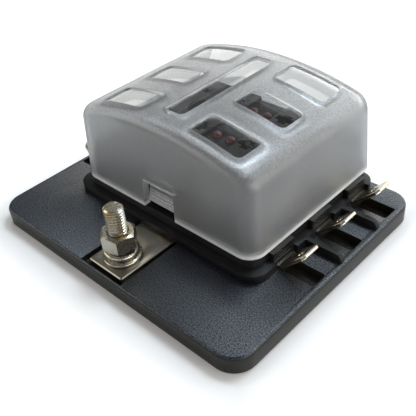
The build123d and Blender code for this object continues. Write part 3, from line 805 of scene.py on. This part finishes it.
class FUSEBLOCK_OT_stage(bpy.types.Operator):
    """Set up the floor, the soft lights, the white surroundings and the camera"""
    bl_idname = "fuseblock.stage"
    bl_label = "Stage"

    def execute(self, context):
        settings = context.scene.fuse_stage
        self.floor(settings)
        self.world(context, settings)
        wall, left, card = settings.wall_glow, settings.left_glow, settings.card_glow
        sky, box, fill = settings.sky_glow, settings.box_glow, settings.fill_glow
        for name, place, size, glow, tint, facing in (
                ("Studio wall", (0.306, 0.739, 0.48), (4.8, 0.96), wall, (1.0, 0.99, 0.96),
                 (0.306, 0.739, 0)),
                ("Left wall", (-0.842, 0.5404, 0.172), (0.299, 0.34), left, (1.0, 0.99, 0.95),
                 (-0.839, 0.545, 0)),
                ("Skylight", (0.034, 0.327, 0.618), (0.26, 0.16), sky, (0.80, 0.91, 1.0), None),
                ("Softbox", (-0.29, 0.196, 0.606), (0.12, 0.12), box, (0.86, 0.94, 1.0), None),
                ("Left card", (-0.459, -0.459, 0.262), (0.5, 0.4), card, (1.0, 0.98, 0.95), None),
                ("Right card", (0.666, -0.094, 0.193), (0.6, 0.4), card, (1.0, 0.98, 0.96), None),
                ("Fill card", (0.1, -0.7, 0.25), (0.5, 0.4), fill, (1.0, 0.95, 0.85), None)):
            self.light(name, place, size, glow, tint, facing or place)
        camera = bpy.data.objects.new("Camera", bpy.data.cameras.new("Camera"))
        camera.data.sensor_width = 36.0
        camera.data.lens = settings.lens
        camera.data.clip_start = 0.01
        camera.data.clip_end = 20
        camera.matrix_world = (Matrix.Translation(settings.place) @ Matrix.Rotation(settings.yaw, 4, "Z")
                               @ Matrix.Rotation(pi / 2 - settings.pitch, 4, "X")
                               @ Matrix.Rotation(settings.roll, 4, "Z"))
        context.scene.collection.objects.link(camera)
        context.scene.camera = camera
        context.scene.view_settings.view_transform = "Standard"
        return {"FINISHED"}

    def floor(self, settings):
        """White floor with a glow that only the camera sees, dimmed beside the plate as painted shade that
        darkens the floor round it like a contact shadow.
        """
        bm = bmesh.new()
        bmesh.ops.create_grid(bm, x_segments=1, y_segments=1, size=settings.floor_size)
        mesh = bpy.data.meshes.new("floor")
        bm.to_mesh(mesh)
        bm.free()
        floor = link_mesh("floor", mesh)
        m = Look("White floor")
        m.set(Base_Color=(0.9, 0.9, 0.9, 1), Roughness=0.9, Specular_IOR_Level=0.0)
        glow = m.add("ShaderNodeEmission", Color=(1.0, 0.97, 0.95, 1))
        # Painted shade: the glow falls from floor_glow to shadow_glow towards the plate's edges, on every
        # side.
        x, y = m.axes()[:2]
        beside = m.math("MAXIMUM", m.math("SUBTRACT", m.size(x), plate_high.x),
                        m.math("SUBTRACT", m.size(y), plate_high.y))
        m.wire(m.range(beside, 0.0, settings.shadow_reach, settings.shadow_glow, settings.floor_glow),
               glow.inputs["Strength"])
        lit = m.add("ShaderNodeAddShader")
        m.wire(m.shader.outputs[0], lit.inputs[0])
        m.wire(glow.outputs[0], lit.inputs[1])
        mix = m.add("ShaderNodeMixShader")
        m.wire(m.add("ShaderNodeLightPath").outputs["Is Camera Ray"], mix.inputs[0])
        m.wire(m.shader.outputs[0], mix.inputs[1])
        m.wire(lit.outputs[0], mix.inputs[2])
        m.wire(mix.outputs[0], m.output.inputs["Surface"])
        mesh.materials.append(m.material)

    def world(self, context, settings):
        """White for camera and transmission rays, a share of it for gloss and a dim room for the rest."""
        world = bpy.data.worlds.new("White surroundings")
        world.use_nodes = True
        w = Nodes(world.node_tree)
        background = w.tree.nodes["Background"]
        background.inputs["Color"].default_value = (1, 1, 1, 1)
        rays = w.add("ShaderNodeLightPath").outputs
        seen = w.math("MAXIMUM", rays["Is Camera Ray"], rays["Is Transmission Ray"])
        gloss = w.math("MULTIPLY", rays["Is Glossy Ray"], settings.mirrored)
        w.wire(w.range(w.math("ADD", seen, gloss), 0.0, 1.0, settings.ambient, 1.0),
               background.inputs["Strength"])
        context.scene.world = world

    def light(self, name, place, size, glow, tint, facing):
        """A rectangular light at a place, shining against the facing direction."""
        data = bpy.data.lights.new(name, "AREA")
        data.shape = "RECTANGLE"
        data.size, data.size_y = size
        data.color = tint
        data.energy = glow * pi * size[0] * size[1]
        lamp = bpy.data.objects.new(name, data)
        lamp.visible_camera = False
        lamp.location = place
        lamp.rotation_euler = (-Vector(facing)).to_track_quat("-Z", "Y").to_euler()
        bpy.context.scene.collection.objects.link(lamp)


class FUSEBLOCK_PT_panel(bpy.types.Panel):
    """Lists the fuse block's operators and settings"""
    bl_label = "Fuse Block"
    bl_space_type = "VIEW_3D"
    bl_region_type = "UI"
    bl_category = "Fuse Block"

    def draw(self, context):
        for operator in OPERATORS:
            self.layout.operator(operator.bl_idname)
        for name in SETTINGS:
            box = self.layout.box()
            group = getattr(context.scene, name)
            for prop in group.bl_rna.properties:
                if not prop.is_readonly and prop.identifier != "name":
                    box.prop(group, prop.identifier)


SETTINGS = {"fuse_cover": CoverSettings, "fuse_plate": PlateSettings, "fuse_metal": MetalSettings,
            "fuse_stage": StageSettings}
OPERATORS = (FUSEBLOCK_OT_plate, FUSEBLOCK_OT_body, FUSEBLOCK_OT_cover, FUSEBLOCK_OT_supply,
             FUSEBLOCK_OT_terminals, FUSEBLOCK_OT_lamps, FUSEBLOCK_OT_screws, FUSEBLOCK_OT_stage)


def register():
    for cls in (*SETTINGS.values(), *OPERATORS, FUSEBLOCK_PT_panel):
        bpy.utils.register_class(cls)
    for name, group in SETTINGS.items():
        setattr(bpy.types.Scene, name, PointerProperty(type=group))


def unregister():
    for name in SETTINGS:
        delattr(bpy.types.Scene, name)
    for cls in reversed((*SETTINGS.values(), *OPERATORS, FUSEBLOCK_PT_panel)):
        bpy.utils.unregister_class(cls)


def main():
    register()
    bpy.ops.fuseblock.plate()
    bpy.ops.fuseblock.body()
    bpy.ops.fuseblock.cover()
    bpy.ops.fuseblock.supply()
    bpy.ops.fuseblock.terminals()
    bpy.ops.fuseblock.lamps()
    bpy.ops.fuseblock.screws()
    bpy.ops.fuseblock.stage()


if __name__ == "__main__":
    main()
